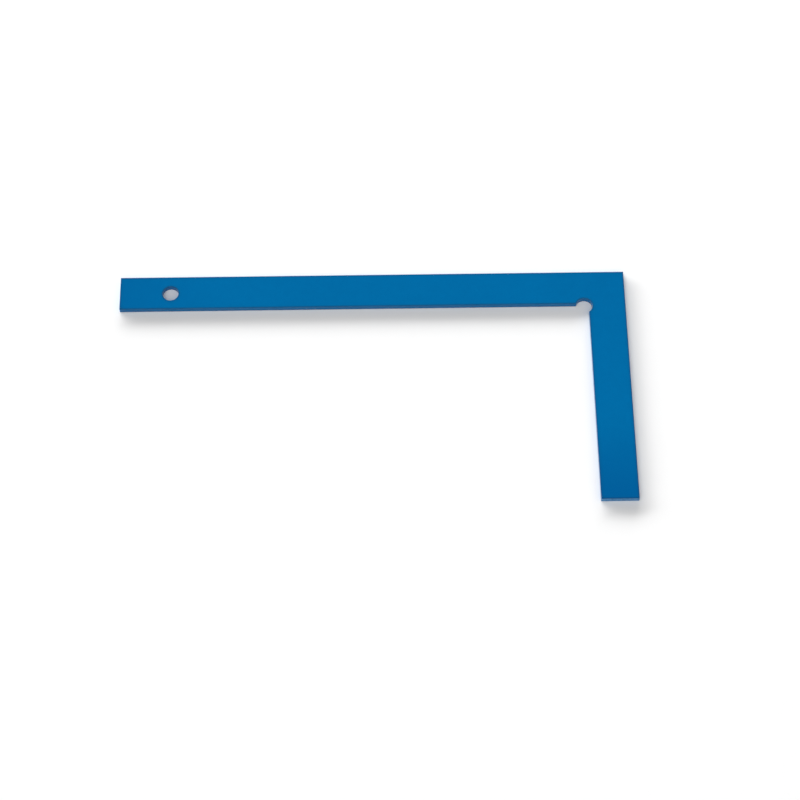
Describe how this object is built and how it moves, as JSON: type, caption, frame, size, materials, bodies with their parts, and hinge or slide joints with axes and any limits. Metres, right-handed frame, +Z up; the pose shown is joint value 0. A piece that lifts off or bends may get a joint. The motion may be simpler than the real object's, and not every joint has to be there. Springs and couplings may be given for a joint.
{
  "type": "flat square",
  "caption": "Flat L-shaped steel square of mitred and welded bar, blue lacquered, with a round inner-corner relief and a hanging hole.",
  "frame": {"origin": "centre of the square's bounding rectangle, on its underside, so it lies flat on z = 0", "axes": "+X along the long leg towards the outer corner, +Y from the short leg's free end towards the long leg, +Z up through the bar's thickness"},
  "size_m": [0.4, 0.2, 0.0045],
  "materials": {
    "leg_lacquer": "smooth satin-gloss blue lacquer over drawn flat steel bar",
    "weld_lacquer": "the same blue lacquer over weld metal ground flush"
  },
  "bodies": {
    "root": {"long_leg": "leg_lacquer", "short_leg": "leg_lacquer", "upper_corner_weld": "weld_lacquer", "lower_corner_weld": "weld_lacquer"}
  },
  "joints": []
}
